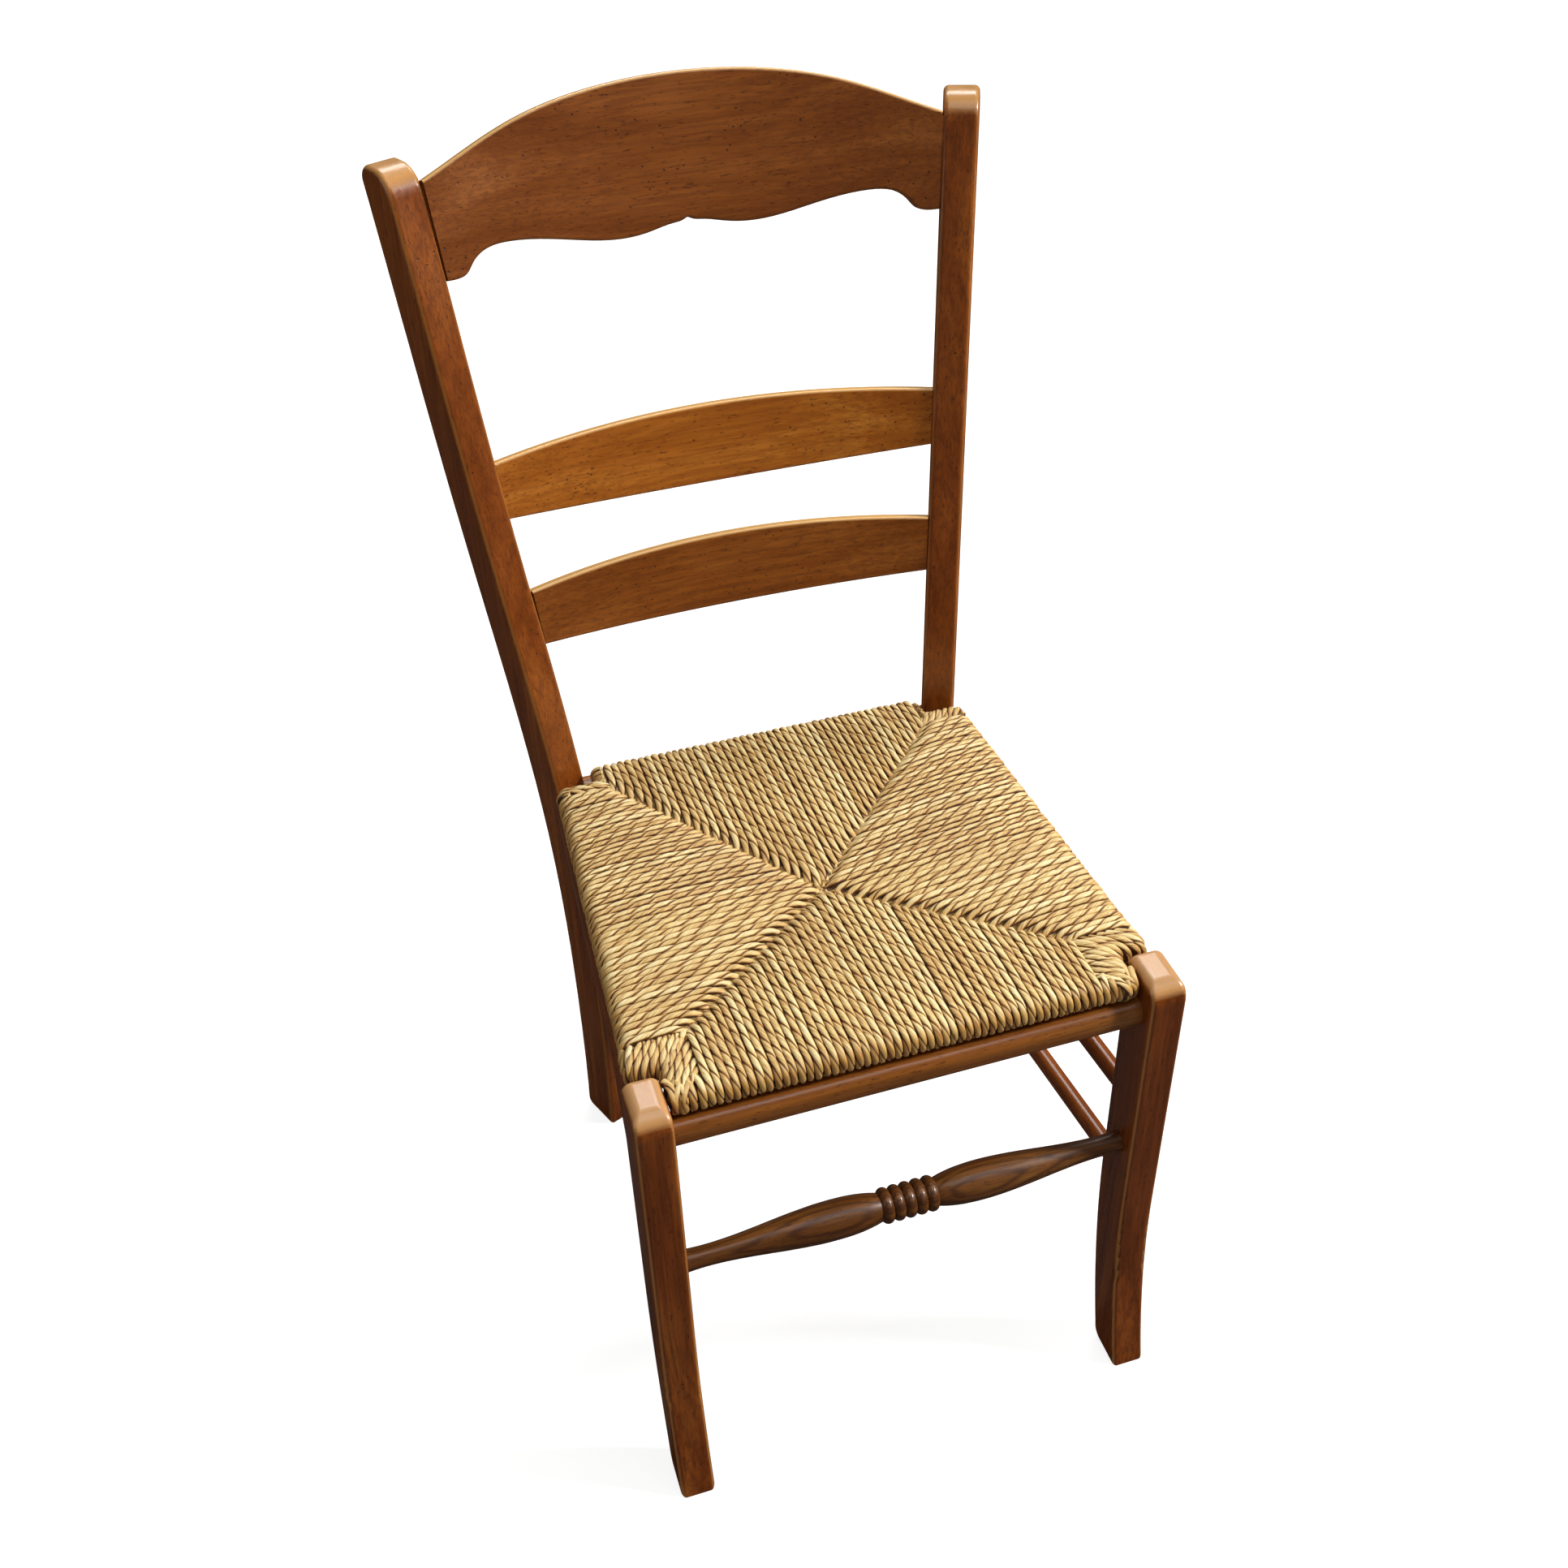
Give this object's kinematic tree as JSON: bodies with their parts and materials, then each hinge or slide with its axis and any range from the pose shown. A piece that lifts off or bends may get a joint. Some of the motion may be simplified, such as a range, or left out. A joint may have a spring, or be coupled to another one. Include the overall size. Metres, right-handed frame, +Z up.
{
  "type": "ladderback chair",
  "caption": "Ladderback dining chair with a scalloped crest rail, bowed slats, raked posts, sabre front legs, turned stretchers and a drop-in rush seat.",
  "frame": {"origin": "middle of the chair's footprint, on the floor", "axes": "+Z up, front faces -Y, +X to the right in a front view"},
  "size_m": [0.5178, 0.6376, 1.0016],
  "materials": {
    "stained_beech": "honey to chestnut stain under a satin varnish, worn at the edges",
    "plain_beech": "planed, no finish",
    "rush": "twisted rush cord, dry and slightly glossy",
    "straw": "loose straw, pressed flat"
  },
  "bodies": {
    "root": {"front_leg_left": "stained_beech", "front_leg_right": "stained_beech", "rear_post_left": "stained_beech", "rear_post_right": "stained_beech", "crest_rail": "stained_beech", "upper_slat": "stained_beech", "lower_slat": "stained_beech", "front_rail": "stained_beech", "rear_rail": "stained_beech", "side_rail_left": "stained_beech", "side_rail_right": "stained_beech", "front_stretcher": "stained_beech", "rear_stretcher": "stained_beech", "lower_stretcher_left": "stained_beech", "lower_stretcher_right": "stained_beech", "upper_stretcher_left": "stained_beech", "upper_stretcher_right": "stained_beech", "crest_pins": "stained_beech", "seat_bar_left": "plain_beech", "seat_bar_right": "plain_beech", "seat_front_bar": "plain_beech", "seat_rear_bar": "plain_beech", "seat_block_front_left": "plain_beech", "seat_block_front_right": "plain_beech", "seat_block_rear_left": "plain_beech", "seat_block_rear_right": "plain_beech", "rush_cover": "rush", "straw_packing": "straw"}
  },
  "joints": []
}
